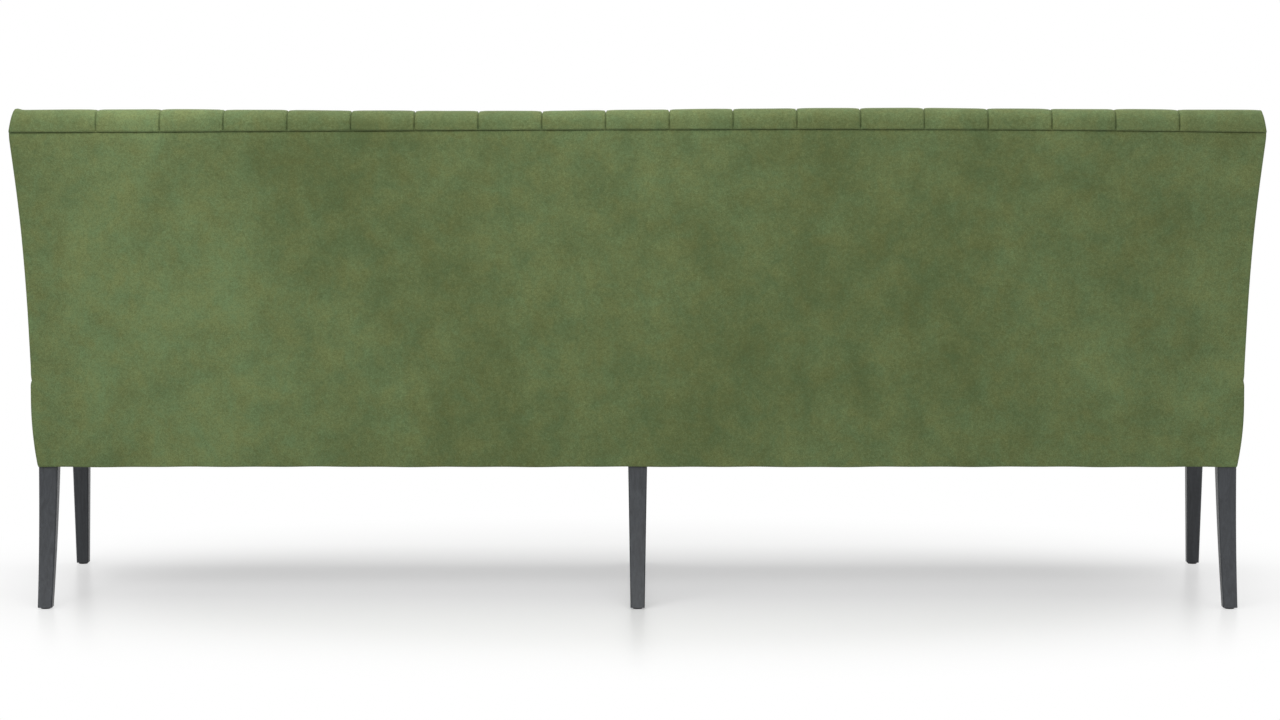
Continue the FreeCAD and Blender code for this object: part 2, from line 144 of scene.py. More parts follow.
print("half widths at hem, pleat and seam:", mm(*half_width(np.array([underside, pleat_z, seam_z]))))

# %% [markdown]
# ## Tools for sewing
# Hand work is never quite even. Random numbers could shake the points, but they look like grit. A few sines
# whose lengths don't divide each other give the slow unevenness of cloth. A pattern is three numbers: how
# fast it changes along and across, and where it starts.

# %% Unevenness
ripple_waves = ((1.0, 0.0, 1.0), (2.3, 1.7, 2.1), (0.41, -2.9, 3.7), (0.0, 1.3, 5.3))


def ripple(along, across, pattern):
    """Unevenness between -1 and 1."""
    pace_along, pace_across, start = pattern
    a = along * pace_along
    b = across * pace_across
    return sum(np.sin(a * i + b * j + start * k) for i, j, k in ripple_waves) / len(ripple_waves)


print("a ripple at one place:", round(float(ripple(0.5, 0.0, (23, 0, 0.4))), 3))

# %% [markdown]
# A stretched cover can be seen as a grid of threads. Blender could make one from a subdivided plane, but a
# seam needs its rows exactly where the thread runs. So each cover is worked out as rows of points, and
# `skin` joins them into faces. The faces have to look outwards, because the thickness goes on their inner
# side: a point inside the bench tells which way that is.


# %% From rows of points to a mesh
def put(name, data):
    """A new object in the scene."""
    thing = bpy.data.objects.new(name, data)
    bpy.context.scene.collection.objects.link(thing)
    return thing


def piece_of(name, points, faces, inside):
    """A smooth mesh object whose faces look away from a point inside."""
    mesh = bpy.data.meshes.new(name)
    mesh.from_pydata(points.tolist(), [], faces)
    mesh.validate()
    facing = sum(face.area * face.normal.dot(face.center - Vector(inside)) for face in mesh.polygons)
    if facing < 0:
        mesh.flip_normals()
    mesh.shade_smooth()
    print(name + ":", len(mesh.vertices), "points,", len(mesh.polygons), "faces")
    return put(name, mesh)


def grid_faces(lines, count, loop=False):
    """Faces between the neighbouring points of a grid. In a loop, each row closes on itself."""
    faces = []
    for line in range(lines - 1):
        near, far = line * count, (line + 1) * count
        for place in range(count if loop else count - 1):
            after = (place + 1) % count
            faces.append((near + place, near + after, far + after, far + place))
    return faces


def skin(name, rows, inside, thickness):
    """A sheet through rows of points, with its thickness on the inner side."""
    rows = np.asarray(rows, float)
    piece = piece_of(name, rows.reshape(-1, 3), grid_faces(*rows.shape[:2]), inside)
    modifier = piece.modifiers.new("thickness", "SOLIDIFY")
    modifier.thickness = thickness
    modifier.offset = -1
    return piece


print("a grid of 4 rows of 5 points has", len(grid_faces(4, 5)), "faces")

# %% [markdown]
# ## Outside back
# One flat panel of cover is sewn under the roll, stretched down over the backing board and turned under the
# seat frame. It shows a soft ridge just under the seam, where the cloth is folded over a strip of card, and
# rounded edges at the sides. A cloth simulation changes almost nothing on a taut panel, so these forms are
# formulas.

# %% Ridge, tuck and rounded edge
ridge_rise = 0.006
ridge_drop = 0.018
ridge_reach = 0.2
tuck_depth = 0.0016


def rounded(distance, radius):
    """How far a rounded edge has fallen away at a distance from it."""
    share = np.clip(1 - distance / radius, 0, 1)
    return radius * (1 - np.sqrt(1 - share * share))


def panel_y(z):
    """The panel's place at a height: full under the seam and tucked in at it."""
    below_seam = seam_z - z
    full = ridge_rise * ramp((ridge_reach - below_seam) / (ridge_reach - ridge_drop))
    tuck = (ridge_rise + tuck_depth) * np.clip(1 - below_seam / ridge_drop, 0, 1) ** 2
    return rear_y(z) + full - tuck


ridge_z = seam_z - ridge_drop
print("ridge under the seam:", mm(panel_y(ridge_z) - rear_y(ridge_z)))

# %% [markdown]
# The panel needs fine rows at its seam and hem and fine columns at its sides. An even grid would round the
# edges badly or be too heavy. So a sine spreads the columns, and three runs of rows with their own spacing
# make up the height.

# %% Grid of the panel
panel_columns = 260
edge_crowding = 0.96 * math.pi / 2
panel_rows = 90
seam_share = 0.03
seam_lines = 24
hem_share = 0.015
hem_lines = 12

panel_across = np.sin(np.linspace(-1, 1, panel_columns) * edge_crowding) / math.sin(edge_crowding)
seam_run = np.linspace(0, seam_share, seam_lines)
middle_run = np.linspace(seam_share, 1 - hem_share, panel_rows)
hem_run = np.linspace(1 - hem_share, 1, hem_lines)
panel_drop = np.unique(np.concatenate([seam_run, hem_run, middle_run]))
print("panel grid:", panel_columns, "columns,", len(panel_drop), "rows")

# %% [markdown]
# No long edge is drawn quite straight by hand. The top edge of the back runs in slow waves, and the rear
# seam in a shallow bow whose crown lies off the middle. Noise would look nervous, so a few sines do it.
# They are zero at both ends, where the side panels join.

# %% Slow waves of the long edges
edge_waves = (0.0007, 0.0019, 0.0007, -0.0013)
seam_bow = 0.0052
seam_skew = 0.69
rise_fade = 0.12


def edge_rise(x, z):
    """How far the top edge and the rear seam stand above straight lines."""
    along = x / half_width(z)
    phase = math.pi * (1 + along) / 2
    wave = sum(size * np.sin((count + 1) * phase) for count, size in enumerate(edge_waves))
    return wave, seam_bow * (1 - along * along) * (1 - seam_skew * along)


print("the rear seam rises in the middle by", mm(edge_rise(0, seam_z)[1]))

# %% [markdown]
# The lower edge of a real panel waves a little between its staples, and small puckers run in from the side
# seams. As a bump, they would leave the outline straight as a ruler. So they are in the points, and fade
# away from the edge. The last rows turn under the frame as a hem.

# %% Outside back panel
edge_radius = 0.004
hem_radius = 0.003
hem_width = 0.014
hem_rows = 6
hem_wave = 0.0011
hem_fade = 0.03
hem_pattern = (23, 0, 0.4)
cloud_relief = 0.0005
cloud_pattern = (9, 11, 1.3)
pucker_relief = 0.0005
pucker_reach = 0.02
pucker_pattern = (75, 3, 0.9)


def panel_row(share):
    """One row across the outside back, at a share of the way down."""
    z = np.full(panel_columns, seam_z - (seam_z - underside) * share)
    x = panel_across * half_width(z)
    above_hem = z - underside
    beside = half_width(z) - np.abs(x)
    y = panel_y(z) - rounded(beside, edge_radius) - rounded(above_hem, hem_radius)
    y += cloud_relief * ripple(x, z, cloud_pattern)
    y += pucker_relief * np.exp(-beside / pucker_reach) * ripple(z, x, pucker_pattern)
    bow = edge_rise(x, z)[1] * ramp(1 - (seam_z - z) / rise_fade)
    z = z + hem_wave * ripple(x, 0, hem_pattern) * np.exp(-above_hem / hem_fade) + bow
    return np.stack([x, y, z], 1)


panel_points = [panel_row(share) for share in panel_drop]
hem_edge = panel_points[-1]
for step in range(1, hem_rows + 1):
    panel_points.append(hem_edge - [0, hem_width * step / hem_rows, 0])
outside_panel = skin("outside_back", panel_points, (0, front_limit, seat_z), cover_thickness)

# %% [markdown]
# ## Channelled back
# The front of the back and its top roll are one long pad. Seams draw it down to the frame every 117 mm, and
# between them it stands up in round channels. A displacement texture could carve grooves, but then the
# channels would be pressed in and not full. So the pad is a row of closed sections, like the ribs of a
# boat, each a mix of a full one and a pinched one.

# %% Roll over the top
seam_dip = 0.002
channel_dip = 0.0012
roll_rear_radius = 0.026
roll_front_height = 0.040
lip_height = 0.005
lip_steps = 8
rear_steps = 4
rear_arc_steps = 12
top_steps = 6
front_arc_steps = 14


def arc(start, end, heading, count):
    """Points of the arc that leaves start at an angle and stops at end."""
    chord = np.subtract(end, start)
    turn = math.atan2(chord[1], chord[0]) - heading
    turn = (turn + math.pi) % (2 * math.pi) - math.pi
    shares = np.linspace(0, 1, count)
    lengths = np.hypot(*chord) * np.sin(turn * shares) / math.sin(turn)
    angles = heading + turn * shares
    return np.stack([start[0] + lengths * np.cos(angles), start[1] + lengths * np.sin(angles)], 1)


def roll_section(pinch, front_high):
    """The roll, from the rear seam over the top to the front face, as rows of y and z."""
    rear = rear_limit - seam_dip * pinch
    curl = np.linspace(0, math.pi / 2, lip_steps)
    lip_y = seam_y + (rear - seam_y) * np.sin(curl)
    lip = np.stack([lip_y, seam_z + lip_height * (1 - np.cos(curl))], 1)
    rearmost = (rear, top_z - roll_rear_radius)
    apex = (rear_limit - roll_rear_radius, top_z - channel_dip * pinch)
    reach = roll_front_height / math.tan((math.pi / 2 - upper_lean) / 2)
    top_front = (front_high[0] + reach, apex[1])
    rise = np.linspace(lip[-1], rearmost, rear_steps)[1:]
    rear_arc = arc(rearmost, apex, math.pi / 2, rear_arc_steps)[1:]
    top = np.linspace(apex, top_front, top_steps)[1:]
    front_arc = arc(front_high, top_front, math.pi / 2 - upper_lean, front_arc_steps)[::-1][1:]
    return [lip, rise, rear_arc, top, front_arc]


apex_point = lip_steps + (rear_steps - 1) + (rear_arc_steps - 1) - 1
roll_points = apex_point + 1 + (top_steps - 1)
print("the roll stands", mm(top_z - seam_z), "above its seam")

# %% [markdown]
# Below the roll, the section runs down the front face to the seat deck and comes back up along the frame.
# An open sheet would do for the picture, but a pad has an inside, so the hidden side is drawn too.

# %% Section of the channelled back
channel_depth = 0.014
padding_inset = 0.043
post_inset = 0.005
back_padding = 0.058
roll_padding = 0.028
face_steps = 84
inner_steps = 8


def back_section(pinch):
    """Closed section of the back: roll, front face and the side that lies on the frame."""
    inset = padding_inset + back_padding - channel_depth * pinch
    front_top = top_z - roll_front_height
    rail_top = top_z - roll_padding
    heights = np.linspace(front_top, deck_z, face_steps)
    face = np.stack([rear_y(heights) - inset, heights], 1)
    inner_heights = np.linspace(deck_z, rail_top, inner_steps)
    inner = np.stack([rear_y(inner_heights) - padding_inset, inner_heights], 1)
    corner = (float(rear_y(rail_top)) - post_inset, rail_top)
    return np.concatenate([*roll_section(pinch, face[0]), face[1:], inner, [corner]])


full_section = back_section(0)
pinched_section = back_section(1)
cover_points = roll_points + (front_arc_steps - 1) + (face_steps - 1)
print("section of", len(full_section), "points")

# %% [markdown]
# The channels are round on the front, and shallow with a flat top on the roll, where the cover is pulled
# tight. Two meshes would need a join that shows. So each point of the section has a power that says how
# square its channel is, and an average blends the two kinds.

# %% How square the channel is along the section
front_power = 2.3
roll_power = 14.0
power_blend = 13
tiny = 1e-9

section_place = np.arange(len(full_section))
section_run = np.concatenate([[0], np.cumsum(np.hypot(*np.diff(full_section, axis=0).T))])
is_cover = (section_place < cover_points).astype(float)
channel_power = np.where(section_place < roll_points, roll_power, front_power)
channel_power = np.pad(channel_power, power_blend // 2, mode="edge")
channel_power = np.convolve(channel_power, np.ones(power_blend) / power_blend, mode="valid")
outward = np.gradient(full_section, axis=0)[:, ::-1] * [[1, -1]]
outward /= np.maximum(np.hypot(*outward.T), tiny)[:, None]
print("round the section:", mm(section_run[-1]))

# %% [markdown]
# A station is a place along the bench where a section stands. Even steps would miss the narrow seams, so a
# sine crowds them there: a share of 0 is the middle of a channel, and -1 and 1 are its seams. The end
# channels are wider.

# %% Stations along the bench
channel_count = 19
seam_reach = 0.9945
channel_pitch = 2 * seam_reach / (channel_count - 2)
channel_steps = 26
spread = np.sin(np.linspace(-1, 1, channel_steps + 1) * math.pi / 2)


def stations():
    """Places along the bench, each with its share of the way to a seam and, at the ends, to the end."""
    places = [(-seam_reach, share, (share + 1) / 2) for share in spread[:0:-1]]
    for channel in range(channel_count - 2):
        middle = (channel - (channel_count - 3) / 2) * channel_pitch
        places += [(middle + share * channel_pitch / 2, share, None) for share in spread[:-1]]
    return places + [(seam_reach, share, (share + 1) / 2) for share in spread]


print(len(stations()), "stations, a seam every", mm(channel_pitch))

# %% [markdown]
# A sewn seam isn't a clean valley. The thread pulls the cover into a fine groove, and small puckers run out
# from it. A bump could hint at them, but seams show in the outline of the roll, so they move the points. At
# one top corner the gathered cloth stands up as a little ear.

# %% What a seam does to the cover
pinch_root = 0.62
end_pinch = 0.45
groove_depth = 0.0030
groove_width = 0.0010
seam_pucker = 0.0005
seam_pucker_length = 0.013
seam_pucker_reach = 0.012
gather_shift = 9
gather_pattern = (31, 4, 0.7)
ear_rise = 0.003
ear_width = 0.007


def drawn_section(share, end_share):
    """The section at a station. The outer seam of an end channel pulls less."""
    pinch = 1 - (1 - abs(share) ** channel_power) ** pinch_root
    if end_share is not None and share > 0:
        pinch = pinch * end_pinch
    return full_section + (pinched_section - full_section) * pinch[:, None]


def stitch_pull(x, from_seam):
    """How far the thread draws the cover in at a distance from the seam."""
    groove = groove_depth * np.exp(-((from_seam / groove_width) ** 2))
    turn = section_run * 2 * math.pi / seam_pucker_length
    gather = 1 + np.sin(turn + gather_shift * ripple(x, section_run, gather_pattern))
    return groove + seam_pucker * np.exp(-from_seam / seam_pucker_reach) * gather


def ear(z, end_share):
    """How far the ear stands up near the top corner."""
    corner = np.exp(-(((1 - end_share) * (half_width(z) - seam_reach) / ear_width) ** 2))
    return ear_rise * corner * ramp((z - top_z + 2 * ear_width) / (2 * ear_width)) * is_cover


print("a seam draws the front face in by", mm(channel_depth + groove_depth))

# %% [markdown]
# Now the pad is put together, a closed row of points at each station and a face at either end. A loft made
# with Blender's curve tools would round the seams away. The seam under the roll is held still, so that the
# pad meets the outside back along a clean line.

# %% Channelled back
unevenness = 0.0008
channel_pattern = (14, 9, 2.2)
seam_hold = 0.006


def roll_rise(x, z, height):
    """How far a station's points rise: as the rear seam does, then as the top edge does, then less."""
    wave, bow = edge_rise(x, z)
    rear = bow + (wave - bow) * np.clip((height - seam_z) / (top_z - seam_z), 0, 1)
    front = wave * ramp(1 - (top_z - height) / rise_fade)
    return np.where(section_place > apex_point, front, rear) * is_cover


def station_row(place, share, end_share):
    """The points of one station."""
    y, height = drawn_section(share, end_share).T
    x = np.full(len(y), place)
    from_seam = np.full(len(y), (1 - abs(share)) * channel_pitch / 2)
    if end_share is not None:
        from_seam = (half_width(height) - cover_thickness - seam_reach) * end_share
        x = math.copysign(1, place) * (seam_reach + from_seam)
    offset = unevenness * ripple(x, section_run, channel_pattern) - stitch_pull(x, from_seam)
    offset = offset * is_cover * ramp(section_run / seam_hold)
    z = height + offset * outward[:, 1]
    if end_share is not None and place > 0:
        z = z + ear(z, end_share)
    return np.stack([x, y + offset * outward[:, 0], z + roll_rise(x, z, height)], 1)


back_rows = np.array([station_row(*station) for station in stations()])
row_count, row_length = back_rows.shape[:2]
back_faces = grid_faces(row_count, row_length, loop=True)
back_faces.append(tuple(range(row_length - 1, -1, -1)))
back_faces.append(tuple(range((row_count - 1) * row_length, row_count * row_length)))
back_pad = piece_of("channelled_back", back_rows.reshape(-1, 3), back_faces, (0, seam_y, seat_z))

# %% [markdown]
# ## Side panels of the back
# Each end of the back is closed by a narrow panel, sewn to the end channel along the front and over the
# top, and to the outside back along the rear. A flat cap on the pad would be quicker, but a real panel is a
# little full and rolls into its seams. So both ends of each row are read from the pieces that it joins.

# %% Edges that the side panels join
end_section = (full_section + (pinched_section - full_section) * end_pinch)[:cover_points]
end_top = int(np.argmax(end_section[:, 1]))
end_rear_y, end_rear_z = end_section[: end_top + 1].T
end_front_y, end_front_z = end_section[end_top:][::-1].T


def side_edges(z):
    """Rear and front edge of a side panel at a height."""
    rear = float(np.interp(z, end_rear_z, end_rear_y))
    if z < seam_z:
        rear = float(panel_y(z)) - cover_thickness
    return rear, float(np.interp(z, end_front_z, end_front_y))


print("a row at the pleat runs between y =", mm(*side_edges(pleat_z)))

# %% [markdown]
# Each row bows out a little in the middle and rolls in at both seams. Blender's Grid Fill could close the
# opening, but it gives no say in where its rows lie. Here they crowd towards the top, where the roll turns
# quickly.

# %% Side panels
panel_fullness = 0.0012
panel_edge = 0.004
side_rows = 110
side_columns = 16
side_across = (1 - np.cos(np.linspace(0, 1, side_columns) * math.pi)) / 2


def side_panel(side, sign):
    """The panel at one end of the back."""
    rows = []
    for share in np.linspace(0, 1, side_rows):
        z = pleat_z + (float(end_section[:, 1].max()) - pleat_z) * math.sin(share * math.pi / 2)
        rear, front = side_edges(z)
        y = rear + (front - rear) * side_across
        beside = np.minimum(np.abs(y - rear), np.abs(y - front))
        full = panel_fullness * np.sin(side_across * math.pi)
        x = float(half_width(z)) + full - rounded(beside, panel_edge)
        rows.append(np.stack([sign * x, y, np.full(side_columns, z)], 1))
    return skin("back_side_" + side, rows, (0, knee_y, seat_z), cover_thickness)


side_panels = {"left": side_panel("left", 1), "right": side_panel("right", -1)}

# %% [markdown]
# ## Seat band
# The seat is a boxed pad. A band of cover runs round both sides and the front and is drawn in under the
# frame. A bevelled box would have the same corner at every height. On the real seat the corner is full at
# the seam and tight at the hem. So the plan is drawn anew at each height, with a corner that is squarer
# than a circle.

# %% Plan of the seat
front_spread = 0.006
front_tuck = 0.022
front_swell_z = underside + 0.123
corner_reach = 0.041
corner_hem_reach = 0.007
corner_power = 3.0
side_steps = 66
corner_steps = 14
front_steps = 300


def seat_half(y, z):
    """Half the width of the seat, which widens a little towards the front."""
    return half_width(z) + front_spread * np.clip((knee_y - y) / (knee_y - front_limit), 0, 1)


def seat_front(z):
    """The seat's front at a height, tucked in towards the hem."""
    return front_limit + front_tuck * np.clip((front_swell_z - z) / (front_swell_z - underside), 0, 1) ** 2


def band_path(z):
    """Plan of the band at a height, from the rear left corner round the front to the rear right."""
    front = float(seat_front(z))
    rear = float(rear_y(z)) - cover_thickness
    rise = min(max((z - underside) / (pleat_z - underside), 0), 1)
    reach = corner_hem_reach + (corner_reach - corner_hem_reach) * rise
    corner_y = front + reach
    half = float(seat_half(corner_y, z))
    turn = np.linspace(0, math.pi / 2, corner_steps)
    norm = (np.cos(turn) ** corner_power + np.sin(turn) ** corner_power) ** (1 / corner_power)
    turn_x = half - reach + reach * np.cos(turn) / norm
    turn_y = corner_y - reach * np.sin(turn) / norm
    side_y = np.linspace(rear, corner_y, side_steps)[:-1]
    side_x = seat_half(side_y, z)
    front_x = np.linspace(half - reach, reach - half, front_steps)[1:-1]
    front_y = np.full(len(front_x), front)
    x = np.concatenate([side_x, turn_x, front_x, -turn_x[::-1], -side_x[::-1]])
    y = np.concatenate([side_y, turn_y, front_y, turn_y[::-1], side_y[::-1]])
    return x, y


# %% [markdown]
# The band rolls into the seam above and turns under the frame below, and its points move along its own
# normal, so that the corner keeps its shape. It could be one mesh with the seat top, but the two are
# separate pieces of cover, and a seam is where two real edges meet.

# %% Seat band
band_rows = 40
seam_zone = 0.012
seam_rows = 10
seam_roll = 0.0025
band_pattern = (11, 13, 4.1)
band_hem_pattern = (21, 0, 2.6)
front_hem_end = body_half - 0.02


def band_row(z):
    """One row round the seat."""
    x, y = band_path(z)
    run = np.concatenate([[0], np.cumsum(np.hypot(np.diff(x), np.diff(y)))])
    inward = rounded(np.array(z - underside), hem_radius) + rounded(np.array(pleat_z - z), seam_roll)
    inward = inward + cloud_relief * ripple(run, z, band_pattern)
    tangent = np.stack([np.gradient(x), np.gradient(y)], 1)
    tangent /= np.hypot(*tangent.T)[:, None]
    wave = hem_wave * ripple(run, 0, band_hem_pattern) * np.exp(-(z - underside) / hem_fade)
    return np.stack([x + inward * tangent[:, 1], y - inward * tangent[:, 0], z + wave], 1)


def turned_under(edge, width):
    """The hem's points, moved under the frame by a width."""
    flange = edge.copy()
    flange[:, 0] -= np.clip(edge[:, 0], -width, width)
    flange[:, 1] += np.where(np.abs(edge[:, 0]) < front_hem_end, width, 0)
    return flange


seam_start = pleat_z - seam_zone
band_heights = np.linspace(underside, seam_start, band_rows)
band_heights = np.concatenate([band_heights, np.linspace(seam_start, pleat_z, seam_rows)[1:]])
band_points = [band_row(z) for z in band_heights]
band_hem = [turned_under(band_points[0], hem_width * step / hem_rows) for step in range(hem_rows, 0, -1)]
border_band = skin("seat_band", band_hem + band_points, (0, knee_y, deck_z), cover_thickness)

# %% [markdown]
# ## Seat top
# The top panel is sewn to the band at the pleat, rises in a soft round edge to a crowned middle, and dives
# into the crevice under the back. A cloth simulation with a little pressure would lift the seat almost
# evenly by 3 mm, and take half a minute at every run. A crown by formula takes no time.

# %% Grid of the seat top
seat_columns = 330
seat_lines = 76
edge_steps = 14
crevice_steps = 9
crevice_radius = 0.016
crevice_y = float(rear_y(seat_z)) - padding_inset - back_padding
seat_front_y = float(seat_front(pleat_z))
seat_front_half = float(seat_half(seat_front_y + corner_reach, pleat_z))


def crowded(reach, steps):
    """Distances from an edge that lie close together at the edge."""
    return reach * (1 - np.cos(np.linspace(0, math.pi / 2, steps)))


round_edge = crowded(corner_reach, edge_steps)
flat_x = np.linspace(corner_reach - seat_front_half, seat_front_half - corner_reach, seat_columns)
flat_y = np.linspace(seat_front_y + corner_reach, crevice_y - crevice_radius, seat_lines)
rear_edge = crevice_y - crowded(crevice_radius, crevice_steps)[::-1]
line_x = np.concatenate([round_edge - seat_front_half, flat_x[1:-1], seat_front_half - round_edge[::-1]])
line_y = np.concatenate([seat_front_y + round_edge, flat_y[1:-1], rear_edge])
seat_x, seat_y = np.meshgrid(line_x, line_y)
print("seat grid:", seat_x.shape[1], "by", seat_x.shape[0], "points")

# %% [markdown]
# The round edge could be sculpted, but then it would drift away from the band. Here `edge_share` is 0 on
# the flat middle and 1 at the seam, and the surface falls off over it in a quarter circle. In the corners
# the grid is pulled in with the band's own corner power. The puckers are small waves that die out towards
# the middle.

# %% Surface of the seat top
seat_crown = 0.008
edge_height = seat_z - seat_crown - pleat_z
seat_unevenness = 0.0012
seat_pattern = (8, 10, 3.3)
seat_pucker = 0.0009
seat_pucker_reach = 0.25
seat_pucker_pace = (190, 170)
seat_pucker_end = 8

side_share = np.clip(1 - (seat_front_half - np.abs(seat_x)) / corner_reach, 0, 1)
front_share = np.clip(1 - (seat_y - seat_front_y) / corner_reach, 0, 1)
edge_share = np.maximum(side_share, front_share)
norm = np.maximum((side_share**corner_power + front_share**corner_power) ** (1 / corner_power), tiny)
pull = np.where((side_share > 0) & (front_share > 0), edge_share / norm, 1)
narrowing = (seat_half(seat_y, pleat_z) - seat_front_half) * seat_x / seat_front_half
top_x = seat_x - corner_reach * side_share * (1 - pull) * np.sign(seat_x) + narrowing
top_y = seat_y + corner_reach * front_share * (1 - pull)

depth_share = np.clip((seat_y - seat_front_y) / (crevice_y - seat_front_y), 0, 1)
crown = seat_crown * 4 * depth_share * (1 - depth_share) * (1 - edge_share)
rise = edge_height * np.sqrt(1 - edge_share**2) + crown
fall = rounded(crevice_y - seat_y, crevice_radius)
uneven = seat_unevenness * ripple(seat_x, seat_y, seat_pattern) * (1 - edge_share)
gathers = np.sin(seat_x * seat_pucker_pace[0] + seat_y * seat_pucker_pace[1]) * (edge_share > 0)
near_seam = np.exp(-(((1 - edge_share) / seat_pucker_reach) ** 2)) * (1 - edge_share**seat_pucker_end)
surface_z = pleat_z + rise - fall + uneven + seat_pucker * near_seam * gathers
top_points = np.stack([top_x, top_y, surface_z], 2)
print("seat top: up to", mm(surface_z.max()))

# %% [markdown]
# A pad is a closed form. Solidify could close the sheet, but would copy the crown to its lower side. So the
# rim is turned in by a few millimetres behind the band, goes straight down to the seat deck, and one face
# closes the bottom, which lies flat on the felt.

# %% Closed seat pad
pad_inset = 0.003
lines, count = top_points.shape[:2]
index = np.arange(lines * count).reshape(lines, count)
rim = np.concatenate([index[0], index[1:, -1], index[-1, -2::-1], index[-2:0:-1, 0]])
turned_in = top_points.reshape(-1, 3)[rim]
turned_in[:, 0] -= np.sign(turned_in[:, 0]) * pad_inset
turned_in[:, 1] += np.where(turned_in[:, 1] < float(line_y.mean()), pad_inset, -pad_inset)
bottom = turned_in.copy()
bottom[:, 2] = deck_z
turned_in[:, 2] = np.minimum(turned_in[:, 2], pleat_z) - pad_inset

rings = [rim.tolist()]
for ring in range(2):
    first = lines * count + ring * len(rim)
    rings.append(list(range(first, first + len(rim))))
pad_faces = grid_faces(lines, count)
for place in range(len(rim)):
    after = (place + 1) % len(rim)
    for upper, lower in zip(rings, rings[1:]):
        pad_faces.append((upper[after], upper[place], lower[place], lower[after]))
pad_faces.append(tuple(rings[-1][::-1]))
pad_points = np.concatenate([top_points.reshape(-1, 3), turned_in, bottom])
seat_pad = piece_of("seat_top", pad_points, pad_faces, (0, 0, deck_z))

# %% [markdown]
# ## Dust cover
# A thin black cloth closes the underside. It is stapled round its edge and under the cross rails, and sags
# a few millimetres in each bay. Simulated sheets would sag too, but a sine for each bay is enough for a
# piece that is seldom seen.

# %% Dust cover
dust_thickness = 0.0008
dust_columns = 220
dust_lines = 48
dust_bays = 4
sag = 0.004
crease = 0.0004
crease_pattern = (40, 37, 1.9)

dust_flat = (dust_high.x - dust_low.x, dust_high.y - dust_low.y)
dust_line_x = np.linspace(dust_low.x, dust_high.x, dust_columns)
dust_x, dust_y = np.meshgrid(dust_line_x, np.linspace(dust_low.y, dust_high.y, dust_lines))
bay_sag = np.sqrt(np.abs(np.sin((dust_x - dust_low.x) / dust_flat[0] * dust_bays * math.pi)))
depth_sag = np.sin((dust_y - dust_low.y) / dust_flat[1] * math.pi)
dust_z = dust_high.z - dust_thickness - sag * bay_sag * depth_sag
dust_z = dust_z + crease * ripple(dust_x, dust_y, crease_pattern)
dust_cloth = skin("dust_sheet", np.stack([dust_x, dust_y, dust_z], 2), (0, 0, seat_z), dust_thickness)
print("flat size of the dust cover:", mm(*dust_flat))

# %% [markdown]
# ## Finishes
# A finish is a small tree of shader nodes. Image textures would be quicker to make, but they repeat, and a
# part for a library shouldn't hang on picture files. With a few helpers, each finish reads as a list of
# what the eye sees.


# %% Helpers that add nodes
def plug(tree, node, sockets):
    """Gives each socket of a node its value, or a link from another node's output."""
    for key, value in sockets.items():
        if isinstance(value, bpy.types.NodeSocket):
            tree.links.new(value, node.inputs[key])
        else:
            node.inputs[key].default_value = value


def finish(name, roughness, specular):
    """A new material, its node tree and its main shader."""
    material = bpy.data.materials.new(name)
    material.use_nodes = True
    tree = material.node_tree
    shader = tree.nodes["Principled BSDF"]
    plug(tree, shader, {"Roughness": roughness, "Specular IOR Level": specular})
    print("finish:", name)
    return material, tree, shader


def add(tree, kind, sockets, output=0, **settings):
    """One output of a new node, by default the first."""
    node = tree.nodes.new("ShaderNode" + kind)
    for key, value in settings.items():
        setattr(node, key, value)
    plug(tree, node, sockets)
    return node.outputs[output]


# %% [markdown]
# Noise is the raw stuff of most finishes. It is read in the object's own space, so it needs no UV map and
# keeps its scale on every piece. A ramp turns its grey values into colours, and a bump turns them into
# small heights.


# %% Noise, blends, colours and bumps
def noise(tree, stretch, scale, detail, roughness=0.55, distortion=0.0):
    """Noise in the object's own space, stretched along the axes."""
    place = add(tree, "TexCoord", {}, "Object")
    place = add(tree, "Mapping", {"Vector": place, "Scale": stretch})
    sockets = {"Vector": place, "Scale": scale, "Detail": detail}
    sockets |= {"Roughness": roughness, "Distortion": distortion}
    return add(tree, "TexNoise", sockets, "Fac")


def blend(tree, first, second, share):
    """Mix of two grey values, with a share of the second."""
    return add(tree, "Mix", {"Factor": share, "A": first, "B": second}, "Result")


def colours(tree, value, stops):
    """Colour of a grey value, from a ramp given as places and colours."""
    output = add(tree, "ValToRGB", {"Fac": value}, "Color")
    elements = output.node.color_ramp.elements
    while len(elements) < len(stops):
        elements.new(0.5)
    for element, (place, colour) in zip(elements, stops):
        element.position = place
        element.color = (*colour, 1)
    return output


def surface(tree, shader, colour, height, strength, distance):
    """Gives a shader its colour, and small heights from a grey value."""
    bump = add(tree, "Bump", {"Height": height, "Strength": strength, "Distance": distance}, "Normal")
    plug(tree, shader, {"Base Color": colour, "Normal": bump})


print("helpers ready: noise, blend, colours and surface")

# %% [markdown]
# ### Green cover
# The cover is brushed, like nubuck. Its nap lies in large soft clouds and smaller patches, and a fine grain
# breaks up the light. One noise with more detail would look like marble, because all its sizes hang
# together. So each size the eye can tell apart is a noise of its own.

# %% Nap of the green cover
green_dark = (0.079, 0.104, 0.036)
green_mean = (0.112, 0.147, 0.057)
green_light = (0.156, 0.212, 0.087)
patch_share = 0.48
grain_share = 0.55
fine_share = 0.55

